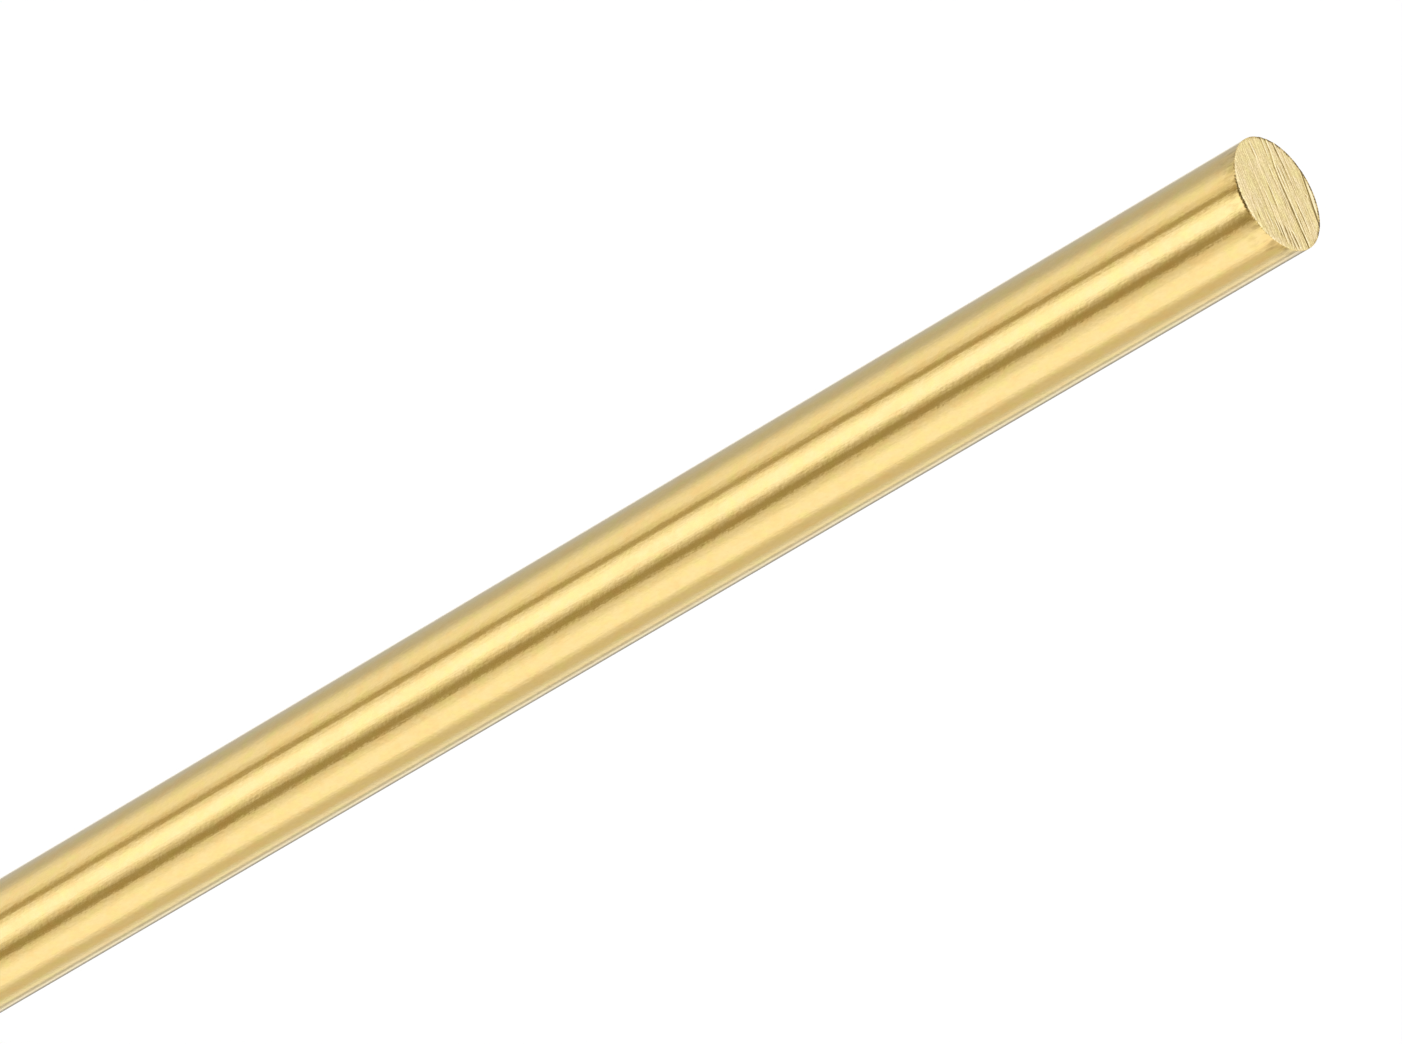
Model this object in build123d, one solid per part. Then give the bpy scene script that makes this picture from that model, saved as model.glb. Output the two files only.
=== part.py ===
"""Round brass bar stock: one solid bar, drawn to diameter and sawn to length at both ends.

Units are millimetres. The bar stands on its lower end on the plane z = 0, with its axis along Z
through the origin. The upper end carries a shallow crease close to its rim, on the side where
the blade left the bar. The lower end is a plain sawn face.
"""

import os

from build123d import *

# Driving dimensions of the stock.
bar_diameter = 12.0
bar_length = 300.0

# The rims of the two sawn faces are all but sharp.
rim_radius = 0.05

# The crease across the upper end. The face is level on both sides of it.
crease_reach = 0.8  # how far in from the rim it runs at its middle
crease_width = 0.3  # across its mouth, at the sawn face
crease_depth = 0.1
crease_bearing = 68.0  # side of the bar that it runs past, in degrees from +X towards +Y


def drawn_bar():
    """The stock itself: its round section drawn out along Z, with both rims rounded."""
    bar = extrude(Circle(bar_diameter / 2), amount=bar_length)
    rims = bar.edges().filter_by(GeomType.CIRCLE)
    return fillet(rims, radius=rim_radius)


def crease_cut():
    """A straight V with its mouth at the sawn face, long enough to leave the bar at both ends.

    The flanks are carried on above the face at the same slope, so the mouth keeps its width.
    """
    outward = Vector(1, 0, 0).rotate(Axis.Z, crease_bearing)
    along_crease = outward.cross(Vector(0, 0, 1))
    middle = outward * (bar_diameter / 2 - crease_reach) + Vector(0, 0, bar_length)
    section_plane = Plane(origin=middle, x_dir=outward, z_dir=along_crease)
    section = make_face(
        Polyline(
            (0, -crease_depth),
            (crease_width, crease_depth),
            (-crease_width, crease_depth),
            close=True,
        )
    )
    return extrude(section_plane * section, amount=bar_diameter, both=True)


def sawn_bar():
    """The finished bar, with the crease in its upper face."""
    bar = drawn_bar() - crease_cut()
    bar.label = "bar"
    return bar


os.makedirs("parts", exist_ok=True)
export_step(sawn_bar(), "parts/bar.step")
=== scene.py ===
"""Look of a round brass bar, cold drawn and sawn to length, standing on its lower end.

One mesh stands for the bar: a drawn side with fine die lines along it, and two sawn ends whose
saw marks, nicks and burr are cut into the mesh. Its metal mirrors a studio of cards and soft
panels. Lengths of the bar are in millimetres until its mesh is made, those of the studio in metres.
"""

import math

import bpy
import numpy as np
from mathutils import Matrix, Vector


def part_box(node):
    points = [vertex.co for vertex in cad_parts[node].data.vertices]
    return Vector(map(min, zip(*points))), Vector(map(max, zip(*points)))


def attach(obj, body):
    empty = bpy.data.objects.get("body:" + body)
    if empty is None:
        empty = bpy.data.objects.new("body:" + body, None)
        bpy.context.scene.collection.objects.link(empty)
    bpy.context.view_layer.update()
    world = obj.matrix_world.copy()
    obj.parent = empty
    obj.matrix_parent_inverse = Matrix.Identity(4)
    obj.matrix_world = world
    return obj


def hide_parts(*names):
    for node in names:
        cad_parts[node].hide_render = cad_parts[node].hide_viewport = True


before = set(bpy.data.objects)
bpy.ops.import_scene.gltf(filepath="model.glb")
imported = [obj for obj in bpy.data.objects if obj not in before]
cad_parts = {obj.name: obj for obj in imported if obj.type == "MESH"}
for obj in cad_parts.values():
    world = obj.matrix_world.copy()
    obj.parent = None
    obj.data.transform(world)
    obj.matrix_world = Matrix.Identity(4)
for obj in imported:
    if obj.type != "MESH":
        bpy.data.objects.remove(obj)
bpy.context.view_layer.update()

MM = 0.001

# Sizes of the bar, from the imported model.
LOW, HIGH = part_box("bar")
RADIUS = (HIGH.x - LOW.x) / 2 / MM
LENGTH = (HIGH.z - LOW.z) / MM

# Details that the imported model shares, at the same size as in its source.
RIM_RADIUS = 0.05
CREASE_REACH = 0.8  # from the rim in to the middle of the crease
CREASE_WIDTH = 0.3
CREASE_DEPTH = 0.1
CREASE_BEARING = 68.0

# How finely the mesh is cut.
ROWS = 600  # rows of an end face, each along its saw marks
UPPER_COLUMNS, LOWER_COLUMNS = 64, 24  # steps along a row
RIM_STEPS = 4
EDGE_INSETS = (0.0, 0.08, 0.16, 0.26)  # rings just inside the rim, where the face's edge is worn
BURR_RINGS = np.arange(0.08, 0.45, 0.035)  # how far below the top the rings of the side lie
SIDE_RINGS = (0.6, 3, 60, 150, 240, 297)

RING = 2 * ROWS
FACE_RADIUS = RADIUS - RIM_RADIUS
INNER = FACE_RADIUS - EDGE_INSETS[-1]

# The directions in which the rows run. The lower end was sawn at another angle.
UPPER_DIRECTION = math.radians(CREASE_BEARING - 90)
LOWER_TURN = 130  # in steps round a ring
LOWER_DIRECTION = UPPER_DIRECTION + math.pi * LOWER_TURN / ROWS


# ---- saw marks ---------------------------------------------------------------------------------

# Metal that the saw threw out of a mark stands as a low ridge on its far side.
RIDGE_MIDDLE, RIDGE_SPREAD = 1.9, 1.3  # from the middle of the mark, in half widths of it
# A strong mark's ridge is this share of its depth, and grows no more past the limit.
RIDGE_SHARE, RIDGE_LIMIT = 0.75, 0.04
FACE_SINK = 0.03  # the upper face lies this much below the tops of those ridges
UNEVEN = 0.2  # how much the depth varies along a mark

# Fine marks. They stray from their direction by so many degrees, and fade out beyond their reach.
FINE_STRAY = 1.3
FINE_WIDTHS = (0.07, 0.15)
FINE_DEPTH, FINE_EXTRA_DEPTH = 0.002, 0.016
FINE_REACHES = (0.8, 5.0)

# Marks of the teeth.
TOOTH_SPAN = (-0.85, 0.8)  # the part of the face that they cross, in radii
TOOTH_JITTER = 0.12
TOOTH_STRAY = 0.5
TOOTH_WIDTHS = (0.09, 0.13)
TOOTH_DEPTHS = (0.014, 0.050)
TOOTH_SHARE, TOOTH_GROWTH = 0.62, 0.14  # of that depth, growing towards the crease
TOOTH_RIDGE = 0.4

UPPER_SLANT = 0.10  # of the upper end's marks against its crease
UPPER_FINE = {"seed": 11, "count": 260, "slant": UPPER_SLANT, "smooth_part": 0.4}
UPPER_TEETH = {"seed": 7, "count": 24, "slant": UPPER_SLANT}
LOWER_FINE = {"seed": 23, "count": 220}
LOWER_TEETH = {"seed": 29, "count": 24}

# The strong marks of the upper end: width, then points (across, along, depth).
STRONG_MARKS = [
    (0.19, [(1.0, -5.9, 0.08), (1.0, -5.3, 0.06), (1.1, -4.4, 0.045), (1.0, -2.8, 0.05),
            (1.1, -1.6, 0.06), (1.25, -0.8, 0.07), (1.4, 0.2, 0.08), (1.65, 1.8, 0.10),
            (1.75, 2.6, 0.07), (1.85, 3.4, 0.11), (2.1, 4.8, 0.12), (2.2, 5.5, 0.09)]),
    (0.17, [(2.0, -5.6, 0.05), (2.15, -4.9, 0.10), (2.35, -4.0, 0.075), (2.55, -3.0, 0.07),
            (2.7, -2.0, 0.035), (2.8, -1.0, 0.0)]),
    (0.15, [(1.35, -3.4, 0.0), (1.5, -2.4, 0.055), (1.65, -1.4, 0.05), (1.85, -0.3, 0.015)]),
    (0.15, [(2.5, 0.2, 0.0), (2.7, 1.1, 0.055), (2.9, 2.1, 0.075), (3.05, 3.2, 0.065),
            (3.15, 4.2, 0.0)]),
    (0.17, [(-2.0, -5.6, 0.01), (-1.85, -5.0, 0.04), (-1.65, -4.2, 0.045), (-1.4, -3.0, 0.0)]),
    (0.15, [(-4.45, 0.0, 0.0), (-4.35, 0.9, 0.045), (-4.25, 2.0, 0.02), (-4.2, 2.7, 0.06),
            (-4.05, 3.3, 0.0)]),
    (0.14, [(-2.95, 1.5, 0.0), (-2.85, 2.4, 0.035), (-2.7, 3.2, 0.05), (-2.55, 4.0, 0.0)]),
    (0.19, [(0.2, 3.7, 0.0), (0.35, 4.4, 0.08), (0.5, 5.0, 0.10), (0.6, 5.7, 0.06)]),
    (0.15, [(-0.2, 3.4, 0.0), (-0.15, 4.2, 0.07), (0.03, 5.5, 0.075), (0.12, 5.9, 0.05)]),
    (0.17, [(-0.65, 2.9, 0.0), (-0.57, 3.8, 0.075), (-0.47, 5.0, 0.07), (-0.42, 5.6, 0.03)]),
    (0.17, [(-1.4, 2.8, 0.0), (-1.25, 3.7, 0.07), (-1.15, 4.6, 0.06), (-1.05, 5.4, 0.02)]),
    (0.16, [(-1.8, 2.2, 0.0), (-1.7, 3.2, 0.06), (-1.57, 4.4, 0.05), (-1.5, 5.0, 0.0)]),
    (0.16, [(-2.15, 2.8, 0.0), (-2.0, 3.6, 0.055), (-1.9, 4.4, 0.0)]),
    (0.14, [(0.3, -5.9, 0.06), (0.35, -5.3, 0.045), (0.4, -4.5, 0.04), (0.5, -3.6, 0.0)]),
    (0.14, [(0.65, -1.8, 0.0), (0.78, -0.4, 0.065), (1.02, 1.2, 0.065), (1.25, 2.6, 0.0)]),
    (0.12, [(0.35, -2.6, 0.0), (0.5, -0.8, 0.055), (0.75, 1.0, 0.055), (0.9, 2.2, 0.0)]),
    (0.15, [(0.0, -3.6, 0.0), (0.1, -2.4, 0.055), (0.3, -1.0, 0.06), (0.6, 1.6, 0.0)]),
    (0.16, [(-1.2, -2.0, 0.0), (-1.0, -0.6, 0.05), (-0.8, 1.0, 0.055), (-0.6, 2.2, 0.0)]),
    (0.12, [(-2.1, -1.2, 0.0), (-1.95, 0.2, 0.04), (-1.8, 1.6, 0.04), (-1.65, 2.6, 0.0)]),
    (0.13, [(2.0, -3.3, 0.0), (2.1, -2.2, 0.05), (2.25, -0.9, 0.04), (2.35, 0.1, 0.0)]),
    (0.13, [(2.1, 1.5, 0.0), (2.25, 2.6, 0.05), (2.4, 3.8, 0.045), (2.5, 4.6, 0.0)]),
    (0.16, [(3.45, -2.3, 0.0), (3.52, -2.0, 0.05), (3.6, -1.6, 0.0)]),
    (0.19, [(4.55, -0.35, 0.0), (4.6, -0.15, 0.08), (4.65, 0.05, 0.0)]),
]


def bell(distance):
    return np.exp(-(distance**2))


def ridge_beside(off):
    return bell((off - RIDGE_MIDDLE) / RIDGE_SPREAD)


def strong_mark(s, t, width, points):
    """Depth below the face of one mark that follows points (across, along, depth)."""
    across, along, depth = np.array(points, float).T
    deep = np.interp(t, along, depth, left=0, right=0)
    deep *= 1 - UNEVEN + UNEVEN * np.sin(7.3 * t + across[0]) * np.sin(3.1 * t + along[0])
    off = (s - np.interp(t, along, across)) / (width / 2)
    ridge = RIDGE_SHARE * np.minimum(deep, RIDGE_LIMIT)
    return deep * bell(off) - ridge * ridge_beside(off)


def fine_marks(s, t, seed, count, slant=0.0, smooth_part=0.0):
    """Many shallow marks side by side. Where s and t are low they lose a part of their depth."""
    rng = np.random.default_rng(seed)
    total = np.zeros_like(s)
    for _ in range(count):
        offset = rng.uniform(-RADIUS, RADIUS)
        tilt = slant + math.tan(math.radians(rng.normal(0, FINE_STRAY)))
        width = rng.uniform(*FINE_WIDTHS)
        depth = FINE_DEPTH + FINE_EXTRA_DEPTH * rng.random() ** 2
        middle = rng.uniform(-RADIUS, RADIUS)
        reach = rng.uniform(*FINE_REACHES)
        fade = np.exp(-(((t - middle) / reach) ** 4))
        total += depth * fade * bell((s - offset - tilt * t) / (width / 2))
    return total * (1 - smooth_part * np.clip(0.5 - (s + t) / 6, 0, 1))


def tooth_marks(s, t, seed, count, slant=0.0):
    """Crisper marks that the teeth of the saw left over much of the width, in broken lines."""
    rng = np.random.default_rng(seed)
    total = np.zeros_like(s)
    for offset in np.linspace(*TOOTH_SPAN, count) * RADIUS:
        offset += rng.uniform(-TOOTH_JITTER, TOOTH_JITTER)
        tilt = slant + math.tan(math.radians(rng.normal(0, TOOTH_STRAY)))
        width = rng.uniform(*TOOTH_WIDTHS)
        depth = rng.uniform(*TOOTH_DEPTHS)
        depth *= TOOTH_SHARE + TOOTH_GROWTH * np.clip(offset, -1, 1)
        broken = 0.5 + np.sin(t * rng.uniform(0.6, 1.6) + rng.uniform(0, 6)) * 0.5
        broken *= 1 - UNEVEN + UNEVEN * np.sin(t * rng.uniform(5, 9))
        off = (s - offset - tilt * t) / (width / 2)
        total += depth * broken * (bell(off) - TOOTH_RIDGE * ridge_beside(off))
    return total


def upper_end_depth(s, t):
    """Depth below the upper face, s across its rows and t along them. Ridges are negative."""
    depth = fine_marks(s, t, **UPPER_FINE) + tooth_marks(s, t, **UPPER_TEETH)
    for width, points in STRONG_MARKS:
        depth += strong_mark(s, t, width, points)
    from_crease = np.abs(s - (RADIUS - CREASE_REACH))
    crease = np.clip(1 - from_crease / (CREASE_WIDTH / 2), 0, 1) * (CREASE_DEPTH - FACE_SINK)
    return np.maximum(depth, np.where(crease > 0, crease, -FACE_SINK))


def lower_end_depth(s, t):
    """Depth below the lower face, which has no ridges: nothing stands below the bar's foot."""
    return np.maximum(fine_marks(s, t, **LOWER_FINE) + tooth_marks(s, t, **LOWER_TEETH), 0)


# ---- painted shade and highlight ---------------------------------------------------------------

SHADE_FROM, SHADE_SPAN = 0.008, 0.048  # from this depth, the painted shade in a mark darkens over this much more
HIGHLIGHT_HEIGHT = 0.022  # a ridge as high as this gets the full painted highlight

# Painted shade in the crease: how dark, how far out of its middle, and how wide for the crease's
# width.
CREASE_SHADE, CREASE_SHADE_SHIFT, CREASE_SHADE_SHARE = 1.6, 0.03, 0.6

# The painted highlight on the sliver past the crease: its edges, from the middle of the crease, and
# their softness.
SLIVER_FROM, SLIVER_TO = 0.10, 0.55
SLIVER_SOFT_FROM, SLIVER_SOFT_TO = 0.07, 0.15


def grime_of(depth):
    """Painted shade that darkens with the depth of a mark, up to 1. Ridges get a painted highlight,
    to -1.
    """
    grimy = np.clip((depth - SHADE_FROM) / SHADE_SPAN, 0, 1)
    return grimy - np.clip(-depth / HIGHLIGHT_HEIGHT, 0, 1)


def upper_end_grime(s, depth):
    """Painted shading of the upper face: painted shade thick in its crease, and a painted highlight
    on the sliver past the crease.
    """
    off = s - (RADIUS - CREASE_REACH)
    from_middle = np.abs(off + CREASE_SHADE_SHIFT) / (CREASE_SHADE_SHARE * CREASE_WIDTH)
    crease = np.clip(CREASE_SHADE * (1 - from_middle), 0, 1)
    bright = np.clip((off - SLIVER_FROM) / SLIVER_SOFT_FROM, 0, 1)
    bright *= np.clip((SLIVER_TO - off) / SLIVER_SOFT_TO, 0, 1)
    grime = np.where(crease > 0, np.maximum(grime_of(depth), crease), grime_of(depth))
    return grime * (1 - bright) - bright


# ---- wear of the side and the upper rim, with painted shade and highlight there ----------------

DIE_SEED = 5
DIE_LINES = ((3, 0.00016), (9, 0.0005), (31, 0.0011))  # half width in ring steps, usual depth

# Bearings round the upper rim. The near side has the burr and the most damage.
NEAR_MIDDLE, NEAR_SPREAD = math.radians(-93), math.radians(48)
FAR_MIDDLE = math.radians(95)

# Wear of the upper face's edge: rounded off at the far side, and chipped and torn at the near one.
# The far wear also gives the far rim a dark outline of painted shade.
FAR_WEAR, NEAR_WEAR, NEAR_TEAR = 0.055, 0.035, 0.080
EDGE_HIGHLIGHT = 0.9  # how strong the painted highlight on the near edge is
CHIP_RATES, TEAR_RATES = (61, 23), (83, 51)

# The burr at the near rim hangs over a small gap in the side just below it.
BURR_FROM, BURR_TO = math.radians(-120), math.radians(-93)
BURR_TAIL = math.radians(12)  # it thins out beyond BURR_TO
BURR_LEAD = math.radians(34)  # and is thin and broken before BURR_FROM
BURR_HEIGHT = 0.15  # below the sawn face
BURR_SPREAD = 0.10
BURR_DEPTH = 0.16
BURR_LEAD_SHARE, BURR_FIRST_SHARE, BURR_TAIL_SHARE = 0.3, 0.35, 0.5  # of that depth
GAP_SHADOW_DEPTH = 0.04  # a gap as deep as this gets the full painted shadow

# Small nicks in the upper rim: bearing and half width in degrees, depth.
RIM_NICKS = [
    (160, 3.0, 0.05), (150, 2.0, 0.08), (141, 3.0, 0.06), (100, 2.5, 0.07), (90, 2.0, 0.04),
    (-160, 2.5, 0.04), (-132, 2.0, 0.08), (-90, 1.5, 0.05), (-78, 2.0, 0.05), (30, 2.0, 0.04),
    (1, 1.5, 0.06),
]
RAGGED_DEPTH, RAGGED_NEAR_DEPTH = 0.015, 0.120  # of the rim all round, and more at the near side
NICK_SHARE = 0.6  # of a nick's depth that is cut down and in
NICK_FADE = 0.07  # over which it runs out down the side
NICK_SHADE = 6  # painted shade in a nick, for each millimetre of its depth


def die_lines():
    """How far each point of a ring lies inside the full radius: fine lines along the whole bar."""
    rng = np.random.default_rng(DIE_SEED)
    total = np.zeros(RING)
    for span, size in DIE_LINES:
        kernel = np.hanning(2 * span + 1)
        raw = rng.normal(size=RING)
        smooth = np.convolve(np.concatenate([raw[-span:], raw, raw[:span]]), kernel, "valid")
        total += size * smooth / smooth.std()
    return total - total.min()


def wrap(angle):
    """The same angle between half a turn back and half a turn on."""
    return (angle + math.pi) % (2 * math.pi) - math.pi


def ragged(angle, *rates):
    """An uneven pattern round the bar, from -1 to 1. Rates are in waves a turn."""
    return np.prod([np.sin(angle * rate + k) for k, rate in enumerate(rates)], axis=0)


def near_side(angle):
    return bell((angle - NEAR_MIDDLE) / NEAR_SPREAD)


def far_side(angle):
    return np.clip(0.50 + 0.9 * np.cos(angle - FAR_MIDDLE), 0, 1)


def edge_share(inset):
    """1 at the rim, and 0 where the worn edge ends inside it."""
    return max(0.0, 1 - inset / EDGE_INSETS[-1])


def edge_highlight(angle, inset):
    """Painted highlight on the near edge of the upper face, at a distance inside the rim."""
    chips = np.clip(0.6 + 0.8 * ragged(angle, *CHIP_RATES), 0, 1)
    return EDGE_HIGHLIGHT * edge_share(inset) * near_side(angle) * chips


def edge_wear(angle, inset):
    """How far the worn edge of the upper face lies below it, at a distance inside the rim."""
    away = edge_share(inset)
    far = FAR_WEAR * far_side(angle) * (0.75 + 0.45 * ragged(angle, 71, 43))
    chipped = NEAR_WEAR * near_side(angle) * np.clip(0.8 + ragged(angle, *CHIP_RATES), 0, 1)
    torn = NEAR_TEAR * near_side(angle) * np.clip(2 * ragged(angle, *TEAR_RATES), 0, 1)
    return away * (far + chipped + away * torn)


def burr_gap(angle, below):
    """Radial depth of the gap under the burr, at a distance below the sawn face."""
    lead = np.clip((angle - BURR_FROM) / BURR_LEAD + 1, 0, 1) ** 0.5
    lead = BURR_LEAD_SHARE * lead * np.clip(0.5 + 1.5 * ragged(angle, 57, 31), 0, 1)
    tail = BURR_TAIL_SHARE * np.clip(1 - (angle - BURR_TO) / BURR_TAIL, 0, 1) ** 2
    through = (angle - BURR_FROM) / (BURR_TO - BURR_FROM)
    main = np.clip(BURR_FIRST_SHARE + through, 0, 1) * (through > 0)
    share = np.where(angle > BURR_TO, tail, main)
    share = np.maximum(share, lead * (angle < BURR_TO)) * (0.75 + 0.35 * ragged(angle, 67, 41))
    middle = BURR_HEIGHT + 0.05 * ragged(angle, 53, 37)
    return BURR_DEPTH * share * bell((below - middle) / BURR_SPREAD)


# Painted shadow under the burr, darker as the gap is deeper.
def gap_grime(gap):
    return gap / GAP_SHADOW_DEPTH


def rim_nicks(angle):
    """Depth of the nicks, with a finer raggedness all round and more of it at the near side."""
    total = RAGGED_DEPTH + RAGGED_NEAR_DEPTH * near_side(angle)
    total *= np.clip(1.6 * ragged(angle, *TEAR_RATES, 29), 0, 1)
    for bearing, half, depth in RIM_NICKS:
        off = np.degrees(wrap(angle - math.radians(bearing)))
        total += depth * bell(off / half)
    return total


# ---- the mesh ----------------------------------------------------------------------------------

DRAWN, SAWN = 0, 1  # material numbers


def ring_angles(direction):
    """Angles round the bar at which every ring has its points, starting on the first row."""
    return direction - math.pi / 2 + math.pi * (np.arange(RING) + 0.5) / ROWS


class Shell:
    """Vertices, faces, material numbers and painted shading of the mesh while it is put together.
    """

    def __init__(self):
        self.points, self.grime, self.faces, self.materials = [], [], [], []

    def add(self, points, grime):
        """Adds points with their painted shading and gives their numbers."""
        first = len(self.points)
        self.points.extend(points.tolist())
        self.grime.extend(np.broadcast_to(grime, len(points)).tolist())
        return np.arange(first, first + len(points))

    def face(self, corners, material):
        self.faces.append([int(c) for c in corners])
        self.materials.append(material)

    def band(self, upper, lower, material):
        """Joins a ring to the next one below it."""
        for k in range(RING):
            n = (k + 1) % RING
            self.face((upper[k], lower[k], lower[n], upper[n]), material)


def end_face(shell, ring, direction, height, depth_at, grime_at, columns, up):
    """Fills the innermost ring with rows along the direction, cut by the depth field."""
    along = np.array([math.cos(direction), math.sin(direction)])
    across = np.array([-along[1], along[0]])
    phi = (-math.pi / 2 + math.pi * (np.arange(1, ROWS - 1) + 0.5) / ROWS)[:, None]
    t = INNER * np.cos(phi) * (2 * np.arange(1, columns) / columns - 1)
    s = np.broadcast_to(INNER * np.sin(phi), t.shape)
    x, y = t * along[0] + s * across[0], t * along[1] + s * across[1]
    depth = depth_at(s, t)
    z = height - depth if up else height + depth
    # Each point of the face gets its painted shade or highlight from its depth.
    inner = shell.add(np.stack([x, y, z], -1).reshape(-1, 3), grime_at(s, depth).ravel())
    inner = inner.reshape(ROWS - 2, columns - 1)
    rows = [[ring[RING - 1], ring[0]]]
    rows += [[ring[RING - 1 - i], *inner[i - 1], ring[i]] for i in range(1, ROWS - 1)]
    rows += [[ring[ROWS], ring[ROWS - 1]]]
    for a, b in zip(rows, rows[1:]):
        if len(a) == len(b):
            cells = [(a[j], a[j + 1], b[j + 1], b[j]) for j in range(columns)]
        else:
            cells = [tuple(a) + tuple(reversed(b))]
        for cell in cells:
            shell.face(cell if up else cell[::-1], SAWN)


def bar_shell():
    """Rings from inside the upper rim, down the side to inside the lower one, and both faces."""
    shell = Shell()
    angles = ring_angles(UPPER_DIRECTION)
    wrapped = wrap(angles)
    inset_of_side = die_lines()
    nicks = rim_nicks(wrapped)
    cut = NICK_SHARE * nicks
    cos, sin = np.cos(angles), np.sin(angles)

    def marks(radius, direction, depth_at):
        """Depth of the saw marks round a ring."""
        return depth_at(radius * np.sin(angles - direction), radius * np.cos(angles - direction))

    def ring(radius, z, grime):
        return shell.add(np.stack([radius * cos, radius * sin, np.broadcast_to(z, RING)], 1), grime)

    rings = []
    for inset in EDGE_INSETS[:0:-1]:
        deep = marks(FACE_RADIUS - inset, UPPER_DIRECTION, upper_end_depth)
        worn = edge_wear(wrapped, inset)
        # Painted shade in the marks and along the worn far edge, less a painted highlight on the
        # near edge.
        grime = grime_of(deep + worn * far_side(wrapped)) - edge_highlight(wrapped, inset)
        rings.append(ring(FACE_RADIUS - inset, LENGTH - FACE_SINK - deep - worn, grime))

    deep = marks(FACE_RADIUS, UPPER_DIRECTION, upper_end_depth)
    worn = edge_wear(wrapped, 0)
    # The same at the rim, with painted shade in the nicks too.
    rim_grime = grime_of(deep + worn * far_side(wrapped)) + NICK_SHADE * nicks
    rim_grime -= edge_highlight(wrapped, 0)
    deep = deep + worn
    for step in range(RIM_STEPS + 1):
        turned = math.pi / 2 * step / RIM_STEPS
        below = RIM_RADIUS * (1 - math.cos(turned))
        gap = burr_gap(wrapped, below)
        radius = FACE_RADIUS + (RIM_RADIUS - cut - inset_of_side) * math.sin(turned) - gap
        z = LENGTH - below - (FACE_SINK + deep + cut) * math.cos(turned)
        # Painted shadow under the burr, added to the rim's painted shading.
        rings.append(ring(radius, z, np.clip(gap_grime(gap) + rim_grime, -1, 1)))

    for below in [*BURR_RINGS, *SIDE_RINGS]:
        gap = burr_gap(wrapped, below)
        fading = cut * math.exp(-(((below - RIM_RADIUS) / NICK_FADE) ** 2))
        radius = RADIUS - inset_of_side - gap - fading
        # Painted shadow in the gap under the burr.
        rings.append(ring(radius, LENGTH - below, np.clip(gap_grime(gap), 0, 1)))

    # The lower rim and face get painted shade in their marks too.
    deep = marks(FACE_RADIUS, LOWER_DIRECTION, lower_end_depth)
    for step in range(RIM_STEPS, -1, -1):
        turned = math.pi / 2 * step / RIM_STEPS
        radius = FACE_RADIUS + (RIM_RADIUS - inset_of_side) * math.sin(turned)
        z = RIM_RADIUS * (1 - math.cos(turned)) + deep * math.cos(turned)
        rings.append(ring(radius, z, grime_of(deep * math.cos(turned))))
    for inset in EDGE_INSETS[1:]:
        deep = marks(FACE_RADIUS - inset, LOWER_DIRECTION, lower_end_depth)
        rings.append(ring(FACE_RADIUS - inset, deep, grime_of(deep)))

    sawn_bands = len(EDGE_INSETS) - 1
    for k, (upper, lower) in enumerate(zip(rings, rings[1:])):
        side = sawn_bands <= k < len(rings) - 1 - sawn_bands
        shell.band(upper, lower, DRAWN if side else SAWN)
    end_face(shell, rings[0], UPPER_DIRECTION, LENGTH - FACE_SINK, upper_end_depth,
             upper_end_grime, UPPER_COLUMNS, True)
    end_face(shell, np.roll(rings[-1], -LOWER_TURN), LOWER_DIRECTION, 0.0, lower_end_depth,
             lambda _, depth: grime_of(depth), LOWER_COLUMNS, False)
    return shell


def bar_mesh():
    """The mesh, with its painted shading and with places along and across the cut for the
    materials.
    """
    shell = bar_shell()
    points = np.array(shell.points)
    mesh = bpy.data.meshes.new("bar_dressed")
    mesh.from_pydata((points * MM).tolist(), [], shell.faces)
    mesh.polygons.foreach_set("material_index", shell.materials)
    mesh.polygons.foreach_set("use_smooth", [True] * len(shell.faces))
    # Painted shading per point: painted shade where positive, painted highlight where negative.
    grime = mesh.attributes.new("grime", "FLOAT", "POINT")
    grime.data.foreach_set("value", shell.grime)
    x, y, z = points.T
    upper = z > LENGTH / 2
    heading = np.where(upper, UPPER_DIRECTION, LOWER_DIRECTION)
    along = x * np.cos(heading) + y * np.sin(heading)
    across = y * np.cos(heading) - x * np.sin(heading)
    across -= np.where(upper, UPPER_SLANT, 0) * along
    cut = mesh.attributes.new("cut", "FLOAT_VECTOR", "POINT")
    cut.data.foreach_set("vector", np.stack([along, across, z], 1).ravel())
    mesh.validate()
    mesh.update()
    return mesh


# ---- materials ---------------------------------------------------------------------------------


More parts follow.
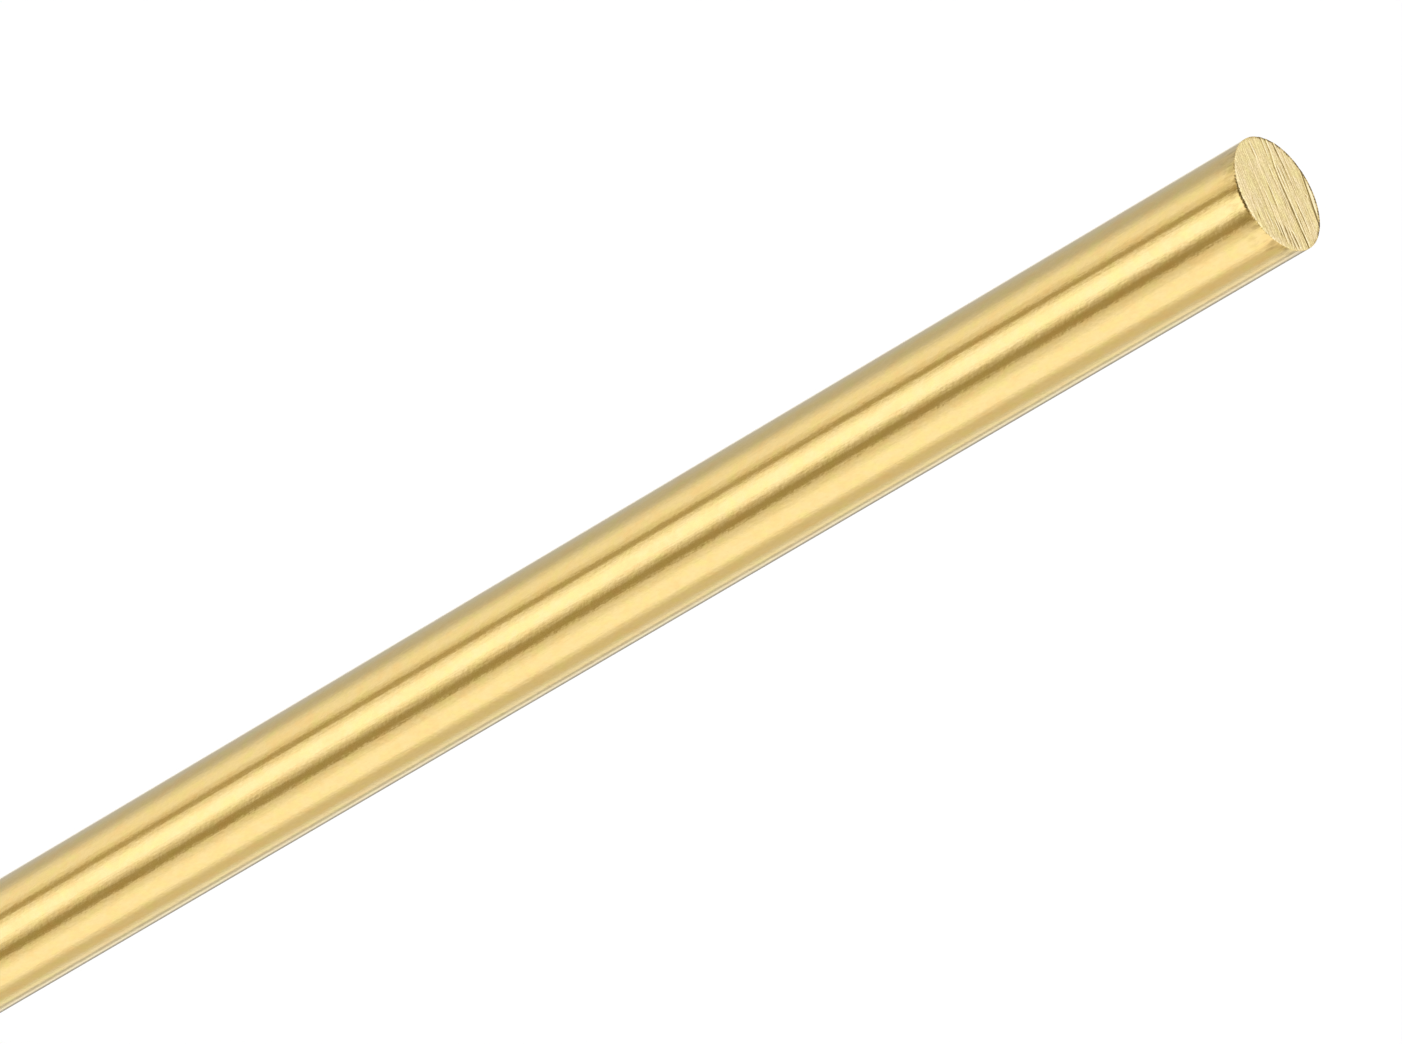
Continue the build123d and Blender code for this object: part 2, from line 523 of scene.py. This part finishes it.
class Nodes:
    """Short calls for building a node tree."""

    def __init__(self, tree):
        self.tree = tree
        tree.nodes.clear()

    def new(self, kind, **settings):
        node = self.tree.nodes.new(kind)
        for name, value in settings.items():
            setattr(node, name, value)
        return node

    def join(self, source, target):
        self.tree.links.new(source, target)

    def feed(self, socket, value):
        if isinstance(value, bpy.types.NodeSocket):
            self.join(value, socket)
        else:
            socket.default_value = value

    def math(self, operation, *values):
        node = self.new("ShaderNodeMath", operation=operation)
        for socket, value in zip(node.inputs, values):
            self.feed(socket, value)
        return node.outputs[0]

    def spread(self, value, low, high, to_low=0.0, to_high=1.0):
        node = self.new("ShaderNodeMapRange")
        for name, v in (("Value", value), ("From Min", low), ("From Max", high),
                        ("To Min", to_low), ("To Max", to_high)):
            self.feed(node.inputs[name], v)
        return node.outputs["Result"]

    def mix(self, factor, a, b):
        node = self.new("ShaderNodeMix", data_type="RGBA")
        self.feed(node.inputs[0], factor)
        self.feed(node.inputs[6], a)
        self.feed(node.inputs[7], b)
        return node.outputs[2]

    def attribute(self, name, output="Fac"):
        return self.new("ShaderNodeAttribute", attribute_name=name).outputs[output]

    def place(self):
        return self.new("ShaderNodeTexCoord").outputs["Object"]

    def noise(self, scale, stretch=(1, 1, 1), detail=3.0, cut=False):
        """Noise in metres on the object, or in millimetres along and across the saw marks."""
        mapping = self.new("ShaderNodeMapping")
        self.join(self.attribute("cut", "Vector") if cut else self.place(),
                  mapping.inputs["Vector"])
        mapping.inputs["Scale"].default_value = stretch
        node = self.new("ShaderNodeTexNoise")
        self.join(mapping.outputs[0], node.inputs["Vector"])
        node.inputs["Scale"].default_value = scale
        node.inputs["Detail"].default_value = detail
        return node.outputs["Fac"]

    def bump(self, height, distance, strength):
        node = self.new("ShaderNodeBump")
        self.join(height, node.inputs["Height"])
        node.inputs["Distance"].default_value = distance
        node.inputs["Strength"].default_value = strength
        return node.outputs["Normal"]

    def either(self, factor, at_none, at_full):
        """One shader where the factor is 0 and the other where it is 1."""
        node = self.new("ShaderNodeMixShader")
        self.join(factor, node.inputs[0])
        self.join(at_none.outputs[0], node.inputs[1])
        self.join(at_full.outputs[0], node.inputs[2])
        return node

    def surface(self, shader, output="ShaderNodeOutputMaterial"):
        self.join(shader.outputs[0], self.new(output).inputs["Surface"])


BRASS = (0.935, 0.725, 0.306, 1)
BRASS_WARM = (0.945, 0.683, 0.297, 1)
BRASS_COOL = (0.902, 0.742, 0.297, 1)
BRASS_PALE = (0.93, 0.725, 0.348, 1)
BRASS_DULL = (0.72, 0.55, 0.24, 1)
BRASS_SAWN = (0.958, 0.803, 0.505, 1)
BRASS_SAWN_YELLOW = (0.94, 0.818, 0.395, 1)
BRASS_SAWN_ROSY = (0.975, 0.79, 0.46, 1)
# The pale colour of the painted highlight on the sawn end.
BRASS_HIGHLIGHT = (1.0, 0.90, 0.62, 1)
BRASS_SAWN_DULL = (0.68, 0.545, 0.26, 1)
# Brown and near black for the painted shade in marks, crease, nicks and gaps. The brown also
# darkens the side near its top.
DARK_BROWN = (0.52, 0.375, 0.145, 1)
PAINTED_SHADE_DARK = (0.15, 0.105, 0.035, 1)

DRAWN_ROUGHNESS, SAWN_ROUGHNESS = (0.10, 0.15), (0.30, 0.42)
DRAWN_BUMP = {"distance": 0.0000068, "strength": 0.95}
SAWN_BUMP = {"distance": 0.00005, "strength": 0.55}
DARKER_FROM_TOP = 2.6  # the side is duller from this far below the top


def new_material(name):
    material = bpy.data.materials.new(name)
    material.use_nodes = True
    return material, Nodes(material.node_tree)


def metal(name, colour, roughness, rough_noise, normal):
    material, n = new_material(name)
    shader = n.new("ShaderNodeBsdfPrincipled")
    shader.inputs["Metallic"].default_value = 1.0
    n.join(colour(n), shader.inputs["Base Color"])
    n.join(n.spread(rough_noise(n), 0.3, 0.7, *roughness), shader.inputs["Roughness"])
    n.join(normal(n), shader.inputs["Normal"])
    n.surface(shader)
    return material


def grimed(n, clean):
    """Painted shade: brown where the painted shading is light, nearly black where it is strong."""
    grime = n.attribute("grime")
    stained = n.mix(n.spread(grime, 0.0, 0.5, 0.0, 0.85), clean, DARK_BROWN)
    return n.mix(n.spread(grime, 0.4, 1.0, 0.0, 0.9), stained, PAINTED_SHADE_DARK)


def drawn_brass():
    """Bright drawn side, satin along its length, in warm, cool and pale patches."""

    def colour(n):
        warm = n.spread(n.noise(640, (1, 1, 0.4)), 0.40, 0.62)
        cool = n.spread(n.noise(800, (1, 1, 0.6)), 0.46, 0.66)
        pale = n.spread(n.noise(910, (1, 1, 0.7)), 0.40, 0.62, 0.0, 0.9)
        clean = n.mix(cool, n.mix(warm, BRASS, BRASS_WARM), BRASS_COOL)
        clean = n.mix(pale, clean, BRASS_PALE)
        grain = n.spread(n.noise(3100, (1, 1, 0.6), detail=2), 0.35, 0.70, 0.0, 0.20)
        clean = n.mix(grain, clean, BRASS_DULL)
        height = n.new("ShaderNodeSeparateXYZ")
        n.join(n.place(), height.inputs[0])
        # Darker and browner towards the top, in patches.
        by_rim = n.spread(height.outputs["Z"], (LENGTH - DARKER_FROM_TOP) * MM, LENGTH * MM,
                          0.0, 0.85)
        dark_patches_and_highlight = n.spread(n.noise(2400, (1, 1, 0.35)), 0.45, 0.65)
        return grimed(n, n.mix(n.math("MULTIPLY", by_rim, dark_patches_and_highlight), clean, DARK_BROWN))

    def normal(n):
        lengthwise = n.noise(3800, (1, 1, 0.12))
        fuzz = n.noise(2300, detail=4)
        return n.bump(n.math("ADD", lengthwise, n.math("MULTIPLY", fuzz, 1.8)), **DRAWN_BUMP)

    return metal("brass_drawn", colour, DRAWN_ROUGHNESS, lambda n: n.noise(2600, (1, 1, 0.04)),
                 normal)


def sawn_brass():
    """Sawn end: paler and rougher than the side, grained along the cut, with painted shade in the
    marks and a painted highlight on ridges and edges.
    """

    def colour(n):
        streak = n.noise(5.0, (0.05, 1, 1), detail=2, cut=True)
        speckle = n.noise(6.5, (0.7, 1, 1), detail=2, cut=True)
        grain = n.math("ADD", n.math("MULTIPLY", streak, 0.8), n.math("MULTIPLY", speckle, 0.8))
        yellow = n.spread(n.noise(0.5, cut=True), 0.40, 0.60)
        rosy = n.spread(n.noise(0.7, detail=2, cut=True), 0.48, 0.68, 0.0, 0.7)
        bright = n.mix(rosy, n.mix(yellow, BRASS_SAWN, BRASS_SAWN_YELLOW), BRASS_SAWN_ROSY)
        clean = n.mix(n.spread(grain, 0.62, 0.94), BRASS_SAWN_DULL, bright)
        # Painted highlight where the shading is negative: on ridges, the sliver past the crease and
        # the near edge.
        dark_patches_and_highlight = n.spread(n.attribute("grime"), -0.8, -0.05, 1.0, 0.0)
        return grimed(n, n.mix(dark_patches_and_highlight, clean, BRASS_HIGHLIGHT))

    def normal(n):
        return n.bump(n.noise(4.4, (0.5, 1, 1), cut=True), **SAWN_BUMP)

    return metal("brass_sawn", colour, SAWN_ROUGHNESS, lambda n: n.noise(5, (0.3, 1, 1), cut=True),
                 normal)


# ---- the bar -----------------------------------------------------------------------------------


def new_object(name, data):
    thing = bpy.data.objects.new(name, data)
    bpy.context.scene.collection.objects.link(thing)
    return thing


bar = new_object("bar_dressed", bar_mesh())
bar.data.materials.append(drawn_brass())
bar.data.materials.append(sawn_brass())
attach(bar, "root")
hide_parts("bar")

# ---- studio ------------------------------------------------------------------------------------

# The camera stands in front and above, and is turned so that the bar lies across the view.
CAMERA_ELEVATION = 34.12
CAMERA_ROLL = 59.47
CAMERA_DISTANCE = 1.0784
CAMERA_AIM = Vector((-0.93, 0, 224.5)) * MM
CAMERA_LENS, CAMERA_SENSOR = 282.5, 36

WHITE = (1, 1, 1, 1)
WORLD_LIGHT = (0.8, 0.8, 0.8, 1)
FLOOR_COLOUR = (0.95, 0.95, 0.95, 1)
FLOOR_HALF = 30.0  # half of its side

SUN_FROM = (-0.5, 0.45, 1.0)
SUN_STRENGTH, SUN_ANGLE = 1.0, 25

# The background is white. Cards and soft panels stand round the bar for its metal to mirror, and
# the white background shows between them. Later ones stand in front of earlier ones.

# Rings of card overhead. Elevations are in degrees.
# name: from, to, softness of each edge, level, warmth
CANOPY = {
    "low card": (-6, 24, 6, 12, 0.60, 0.45),
    "top panel": (42, 66, 14, 14, 1.40, 0.0),
    "top card": (74, 96, 14, 8, 0.85, 0.4),
}

# Upright strips. Azimuths are in degrees from the camera's side, positive towards +X, and top is
# the elevation that a strip reaches. A lean moves a strip by so many degrees for each degree of
# elevation, from where the camera sees it mirrored.
# name: from, to, softness of each edge, top, level, warmth, lean
RIG = {
    "left back flag": (-156, -128, 18, 24, 10, 0.60, 0.6, 0.0),
    "right back flag": (148, 168, 14, 16, 10, 0.55, 0.7, 0.0),
    "left card": (-161.5, -80, 8, 8, -23, 0.54, -0.14, 0.0),
    "left tint": (-131, -92, 16, 18, -23, 0.55, 0.06, 0.0),
    "left panel": (-97.5, -62, 35, 18, 10, 0.98, 0.2, 0.8),
    "left fill": (-66, 6, 8, 14, 60, 0.82, 0.4, 0.0),
    "key panel": (-36, -6, 21, 18, 60, 1.24, -0.08, 0.0),
    "thin flag": (-55.3, -44.1, 11, 12, 60, 0.43, 1.0, 0.3),
    "right fill": (14, 112, 8, 16, 60, 0.70, 0.45, 0.0),
    "right panel": (34, 80, 32, 22, 60, 1.12, 0.1, 0.0),
    "deep flag": (2.4, 22.4, 17, 4.5, 60, 0.38, 1.0, -0.6),
    "right card": (112, 162, 16, 8, -23, 0.54, -0.05, 0.0),
    "rear strip": (116, 128.7, 16, 5, 10, 0.98, 0.0, 0.35),
    "rim strip": (140, 152, 6, 6, 10, 1.0, -0.2, 0.0),
    "rear flag": (160, 174, 10, 8, -23, 0.28, 0.0, 0.0),
}
STRIP_FOOT = -85.0  # elevation at which every strip starts
STRIP_TOP_SOFTNESS = 8.0
WARM_GREEN, WARM_BLUE = 0.18, 0.56  # what a warmth of 1 takes out of a card's green and blue

CARD_DISTANCE = 20.0  # from the bar
CARD_GAP = 0.1  # from one card to the next in front of it
CARD_COLUMNS, CARD_ROWS = 96, 40
ACROSS, UPWARD = np.linspace(0, 1, CARD_COLUMNS + 1), np.linspace(0, 1, CARD_ROWS + 1)


def tone(level, warmth):
    return (level, level * (1 - WARM_GREEN * warmth), level * (1 - WARM_BLUE * warmth), 1)


def soft_span(value, start, end, soft_start, soft_end):
    """1 between start and end and 0 outside them, with a soft edge at each."""
    rise = np.clip((value - start) / soft_start + 0.5, 0, 1)
    fall = np.clip((end - value) / soft_end + 0.5, 0, 1)
    return rise * rise * (3 - 2 * rise) * fall * fall * (3 - 2 * fall)


def canopy_card(low, high, soft_low, soft_high, level, warmth):
    """Azimuths and elevations of a card's points, how far each is covered, and the colour."""
    foot, top = low - soft_low / 2, min(high + soft_high / 2, 90)
    azimuths, elevations = np.meshgrid(360 * ACROSS, foot + (top - foot) * UPWARD)
    cover = soft_span(elevations, low, high, soft_low, soft_high)
    return azimuths, elevations, cover, tone(level, warmth)


def rig_strip(start, end, soft_start, soft_end, top, level, warmth, lean):
    """The same for an upright strip, which fades at its sides and its top."""
    left, right = start - soft_start / 2, end + soft_end / 2
    rise = top + STRIP_TOP_SOFTNESS / 2 - STRIP_FOOT
    turns, elevations = np.meshgrid(left + (right - left) * ACROSS, STRIP_FOOT + rise * UPWARD)
    cover = soft_span(turns, start, end, soft_start, soft_end)
    cover *= soft_span(elevations, STRIP_FOOT - 1, top, 1, STRIP_TOP_SOFTNESS)
    azimuths = turns + lean * (elevations + CAMERA_ELEVATION)
    return azimuths, elevations, cover, tone(level, warmth)


def card_material(name, colour):
    """Shines plainly where the card is, and is clear where its soft edge fades out."""
    material, n = new_material(name)
    material.cycles.emission_sampling = "NONE"
    glow = n.new("ShaderNodeEmission")
    glow.inputs["Color"].default_value = colour
    n.surface(n.either(n.attribute("cover"), n.new("ShaderNodeBsdfTransparent"), glow))
    return material


def make_card(name, order, azimuths, elevations, cover, colour):
    """A curved card round the bar that only reflections see."""
    a, e = np.radians(azimuths), np.radians(elevations)
    out = CARD_DISTANCE - CARD_GAP * order
    points = out * np.stack([np.sin(a) * np.cos(e), -np.cos(a) * np.cos(e), np.sin(e)], -1)
    rows, columns = a.shape
    corner = np.arange(rows * columns).reshape(rows, columns)
    faces = np.stack([corner[:-1, :-1], corner[1:, :-1], corner[1:, 1:], corner[:-1, 1:]], -1)
    mesh = bpy.data.meshes.new(name)
    mesh.from_pydata(points.reshape(-1, 3).tolist(), [], faces.reshape(-1, 4).tolist())
    mesh.attributes.new("cover", "FLOAT", "POINT").data.foreach_set("value", cover.ravel())
    mesh.materials.append(card_material(name, colour))
    card = new_object(name, mesh)
    card.visible_camera = False
    card.visible_diffuse = False
    card.visible_shadow = False


def make_cards():
    cards = {name: canopy_card(*settings) for name, settings in CANOPY.items()}
    cards |= {name: rig_strip(*settings) for name, settings in RIG.items()}
    for order, (name, card) in enumerate(cards.items()):
        make_card(name.replace(" ", "_"), order, *card)


def make_world():
    """White to the camera and in metal, and at a plain level for everything it lights."""
    world = bpy.data.worlds.new("studio")
    bpy.context.scene.world = world
    world.use_nodes = True
    # The ray kinds below are only told apart when the world isn't sampled as a light.
    world.cycles.sampling_method = "NONE"
    n = Nodes(world.node_tree)
    path = n.new("ShaderNodeLightPath")
    shown = n.math("MAXIMUM", path.outputs["Is Camera Ray"], path.outputs["Is Glossy Ray"])
    shown = n.math("MAXIMUM", shown, path.outputs["Is Transmission Ray"])
    back = n.new("ShaderNodeBackground")
    n.join(n.mix(shown, WORLD_LIGHT, WHITE), back.inputs["Color"])
    n.surface(back, "ShaderNodeOutputWorld")


def make_floor():
    """Plain pale floor. It can't be seen from below, so that the lower end can be looked at."""
    half = FLOOR_HALF
    mesh = bpy.data.meshes.new("floor")
    mesh.from_pydata([(-half, -half, 0), (half, -half, 0), (half, half, 0), (-half, half, 0)],
                     [], [(0, 1, 2, 3)])
    material, n = new_material("floor_pale")
    pale = n.new("ShaderNodeBsdfDiffuse")
    pale.inputs["Color"].default_value = FLOOR_COLOUR
    backfacing = n.new("ShaderNodeNewGeometry").outputs["Backfacing"]
    n.surface(n.either(backfacing, pale, n.new("ShaderNodeBsdfTransparent")))
    mesh.materials.append(material)
    floor = new_object("floor", mesh)
    floor.visible_glossy = False


def make_lamp():
    """Soft lamp from the back left. It only shades the floor: its shadow falls to the front."""
    data = bpy.data.lights.new("soft_sun", "SUN")
    data.energy = SUN_STRENGTH
    data.angle = math.radians(SUN_ANGLE)
    lamp = new_object("soft_sun", data)
    lamp.visible_glossy = False
    lamp.rotation_euler = Vector(SUN_FROM).to_track_quat("Z", "Y").to_euler()


def make_camera():
    elevation, roll = math.radians(CAMERA_ELEVATION), math.radians(CAMERA_ROLL)
    back = Vector((0, -math.cos(elevation), math.sin(elevation)))
    level = Vector((1, 0, 0))
    upright = back.cross(level)
    right = math.cos(roll) * level + math.sin(roll) * upright
    up = back.cross(right)
    data = bpy.data.cameras.new("camera")
    data.sensor_width = CAMERA_SENSOR
    data.lens = CAMERA_LENS
    camera = new_object("camera", data)
    axes = Matrix((right, up, back)).transposed().to_4x4()
    camera.matrix_world = Matrix.Translation(CAMERA_AIM + back * CAMERA_DISTANCE) @ axes
    bpy.context.scene.camera = camera


make_world()
make_cards()
make_floor()
make_lamp()
make_camera()

bpy.context.scene.view_settings.view_transform = "Standard"
